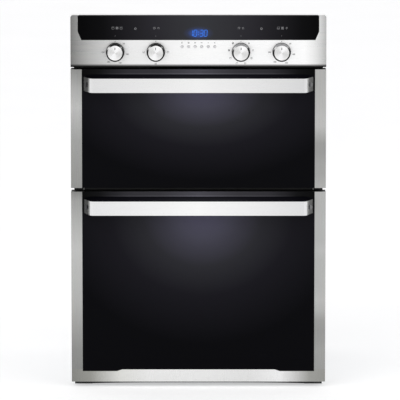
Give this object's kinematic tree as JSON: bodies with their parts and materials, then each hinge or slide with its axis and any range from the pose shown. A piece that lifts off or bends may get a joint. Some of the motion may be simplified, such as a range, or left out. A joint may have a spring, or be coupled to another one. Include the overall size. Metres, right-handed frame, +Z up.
{
  "type": "wall oven",
  "caption": "Built-in double wall oven: control panel with knobs and a clock above a small and a tall cavity, each with a drop-down glass door.",
  "frame": {"origin": "under the middle of the part, on the plane that the base stands on", "axes": "+Z up, -Y out of the front towards the user, +X to the user's right"},
  "size_m": [0.595, 0.622, 0.875],
  "materials": {
    "brushed_steel": "brushed",
    "handle_steel": "satin",
    "black_glass": "gloss",
    "pane_glass": "gloss",
    "black_paint": "satin",
    "zinc_sheet": "galvanised sheet",
    "enamel": "vitreous enamel, gloss",
    "wool": "mineral wool",
    "seal_rubber": "matt",
    "buffer_rubber": "matt",
    "chromed_wire": "polished",
    "element_steel": "heat-darkened",
    "lamp_glass": "gloss",
    "black_plastic": "matt",
    "display": "gloss",
    "board": "coated board",
    "switch_body": "matt",
    "light_pipe": "gloss",
    "fan_steel": "bare",
    "knob_chrome": "spun face, polished rim",
    "button_metal": "satin"
  },
  "bodies": {
    "housing": {"front_frame": "black_paint", "side_panel_left": "zinc_sheet", "side_panel_right": "zinc_sheet", "back_panel": "zinc_sheet", "base_pan": "zinc_sheet", "top_cover": "zinc_sheet", "upper_cavity": "enamel", "lower_cavity": "enamel", "insulation": "wool", "door_seals": "seal_rubber", "hinge_receivers": "zinc_sheet", "upper_guide_wires": "chromed_wire", "lower_guide_wires": "chromed_wire", "upper_grill": "element_steel", "lower_grill": "element_steel", "fan_ring_element": "element_steel", "fan_cover": "enamel", "fan_motor": "zinc_sheet", "oven_lamps": "lamp_glass", "cooling_housing": "zinc_sheet", "terminal_box": "black_plastic", "door_buffers": "buffer_rubber", "fascia": "brushed_steel", "fascia_glass": "black_glass", "fascia_carrier": "black_plastic", "display_module": "display", "control_board": "board", "control_switches": "switch_body", "indicator_pipes": "light_pipe", "knob_bezels": "black_plastic"},
    "circulation_fan": {"convection_fan": "fan_steel"},
    "blower_rotor": {"cooling_rotor": "black_plastic"},
    "upper_rack": {"upper_shelf": "chromed_wire"},
    "lower_rack": {"lower_shelf": "chromed_wire"},
    "tray": {"baking_tray": "enamel"},
    "knob_body_1": {"knob_1": "knob_chrome"},
    "knob_body_2": {"knob_2": "knob_chrome"},
    "knob_body_3": {"knob_3": "knob_chrome"},
    "knob_body_4": {"knob_4": "knob_chrome"},
    "button_body_1": {"button_1": "button_metal"},
    "button_body_2": {"button_2": "button_metal"},
    "button_body_3": {"button_3": "button_metal"},
    "button_body_4": {"button_4": "button_metal"},
    "button_body_5": {"button_5": "button_metal"},
    "button_body_6": {"button_6": "button_metal"},
    "upper_door": {"upper_door_frame": "brushed_steel", "upper_door_glass": "black_glass", "upper_door_cap": "black_plastic", "upper_door_pan": "zinc_sheet", "upper_door_panes": "pane_glass", "upper_door_hinges": "zinc_sheet", "upper_handle": "handle_steel"},
    "lower_door": {"lower_door_frame": "brushed_steel", "lower_door_glass": "black_glass", "lower_door_cap": "black_plastic", "lower_door_pan": "zinc_sheet", "lower_door_panes": "pane_glass", "lower_door_hinges": "zinc_sheet", "lower_handle": "handle_steel"}
  },
  "joints": [
    {"name": "upper_door_hinge", "type": "hinge", "parent": "housing", "child": "upper_door", "pos_m": [0, -0.24, 0.4905], "axis": [1, 0, 0], "range_deg": [0, 90], "stiffness_Nm_per_rad": 4, "springref_deg": -17.19},
    {"name": "lower_door_hinge", "type": "hinge", "parent": "housing", "child": "lower_door", "pos_m": [0, -0.24, 0.032], "axis": [1, 0, 0], "range_deg": [0, 90], "stiffness_Nm_per_rad": 10, "springref_deg": -17.19},
    {"name": "knob_1_turn", "type": "hinge", "parent": "housing", "child": "knob_body_1", "pos_m": [-0.1935, -0.259, 0.7894], "axis": [0, 1, 0], "range_deg": [0, 280]},
    {"name": "knob_2_turn", "type": "hinge", "parent": "housing", "child": "knob_body_2", "pos_m": [-0.099, -0.259, 0.7894], "axis": [0, 1, 0], "range_deg": [0, 315]},
    {"name": "knob_3_turn", "type": "hinge", "parent": "housing", "child": "knob_body_3", "pos_m": [0.099, -0.259, 0.7894], "axis": [0, 1, 0], "range_deg": [0, 315]},
    {"name": "knob_4_turn", "type": "hinge", "parent": "housing", "child": "knob_body_4", "pos_m": [0.1935, -0.259, 0.7894], "axis": [0, 1, 0], "range_deg": [0, 280]},
    {"name": "button_1_press", "type": "slide", "parent": "housing", "child": "button_body_1", "axis": [0, 1, 0], "range_m": [0, 0.0012], "stiffness_N_per_m": 400},
    {"name": "button_2_press", "type": "slide", "parent": "housing", "child": "button_body_2", "axis": [0, 1, 0], "range_m": [0, 0.0012], "stiffness_N_per_m": 400},
    {"name": "button_3_press", "type": "slide", "parent": "housing", "child": "button_body_3", "axis": [0, 1, 0], "range_m": [0, 0.0012], "stiffness_N_per_m": 400},
    {"name": "button_4_press", "type": "slide", "parent": "housing", "child": "button_body_4", "axis": [0, 1, 0], "range_m": [0, 0.0012], "stiffness_N_per_m": 400},
    {"name": "button_5_press", "type": "slide", "parent": "housing", "child": "button_body_5", "axis": [0, 1, 0], "range_m": [0, 0.0012], "stiffness_N_per_m": 400},
    {"name": "button_6_press", "type": "slide", "parent": "housing", "child": "button_body_6", "axis": [0, 1, 0], "range_m": [0, 0.0012], "stiffness_N_per_m": 400},
    {"name": "circulation_fan_spin", "type": "hinge", "parent": "housing", "child": "circulation_fan", "pos_m": [0, 0.191, 0.237], "axis": [0, 1, 0], "continuous": true},
    {"name": "blower_spin", "type": "hinge", "parent": "housing", "child": "blower_rotor", "pos_m": [0, 0.103, 0.7598], "axis": [0, 0, 1], "continuous": true},
    {"name": "upper_shelf_slide", "type": "slide", "parent": "housing", "child": "upper_rack", "axis": [0, -1, 0], "range_m": [0, 0.16]},
    {"name": "lower_shelf_slide", "type": "slide", "parent": "housing", "child": "lower_rack", "axis": [0, -1, 0], "range_m": [0, 0.22]},
    {"name": "tray_slide", "type": "slide", "parent": "housing", "child": "tray", "axis": [0, -1, 0], "range_m": [0, 0.145]}
  ],
  "couplings": [
    {"joint": "upper_shelf_slide", "follows": "upper_door_hinge", "m_per_rad": 0.1},
    {"joint": "lower_shelf_slide", "follows": "lower_door_hinge", "m_per_rad": 0.14},
    {"joint": "tray_slide", "follows": "lower_door_hinge", "m_per_rad": 0.09}
  ]
}
